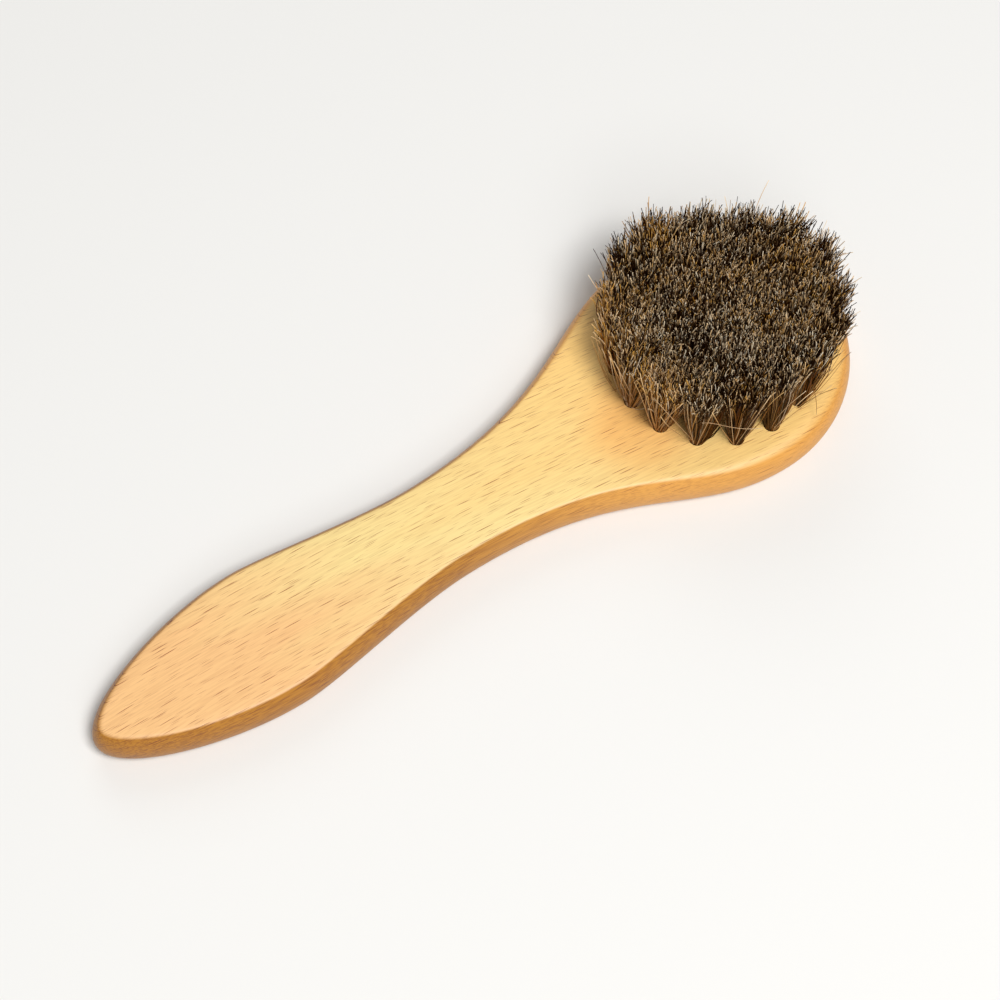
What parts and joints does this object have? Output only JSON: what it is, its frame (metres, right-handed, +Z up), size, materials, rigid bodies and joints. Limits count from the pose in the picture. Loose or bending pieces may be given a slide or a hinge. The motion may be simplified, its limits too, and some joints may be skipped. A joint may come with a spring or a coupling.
{
  "type": "polish dauber",
  "caption": "Flat wooden handle with a narrow neck and a round head, whose drilled face carries rings of short horsehair tufts for daubing polish.",
  "frame": {"origin": "middle of the handle's length and width, on the flat underside that the dauber lies on", "axes": "+X along the handle towards the head, +Z up through the bristles, the XZ plane is the plane of symmetry"},
  "size_m": [0.175, 0.055, 0.029],
  "materials": {
    "beech": "clear satin lacquer over fine-grained beech",
    "horsehair": "mixed dark brown, black and tan hair with cut tips"
  },
  "bodies": {
    "root": {"handle": "beech", "tuft_centre": "horsehair", "tuft_inner_1": "horsehair", "tuft_inner_2": "horsehair", "tuft_inner_3": "horsehair", "tuft_inner_4": "horsehair", "tuft_inner_5": "horsehair", "tuft_inner_6": "horsehair", "tuft_middle_1": "horsehair", "tuft_middle_2": "horsehair", "tuft_middle_3": "horsehair", "tuft_middle_4": "horsehair", "tuft_middle_5": "horsehair", "tuft_middle_6": "horsehair", "tuft_middle_7": "horsehair", "tuft_middle_8": "horsehair", "tuft_middle_9": "horsehair", "tuft_middle_10": "horsehair", "tuft_middle_11": "horsehair", "tuft_outer_1": "horsehair", "tuft_outer_2": "horsehair", "tuft_outer_3": "horsehair", "tuft_outer_4": "horsehair", "tuft_outer_5": "horsehair", "tuft_outer_6": "horsehair", "tuft_outer_7": "horsehair", "tuft_outer_8": "horsehair", "tuft_outer_9": "horsehair", "tuft_outer_10": "horsehair", "tuft_outer_11": "horsehair", "tuft_outer_12": "horsehair", "tuft_outer_13": "horsehair", "tuft_outer_14": "horsehair", "tuft_outer_15": "horsehair", "tuft_outer_16": "horsehair"}
  },
  "joints": []
}
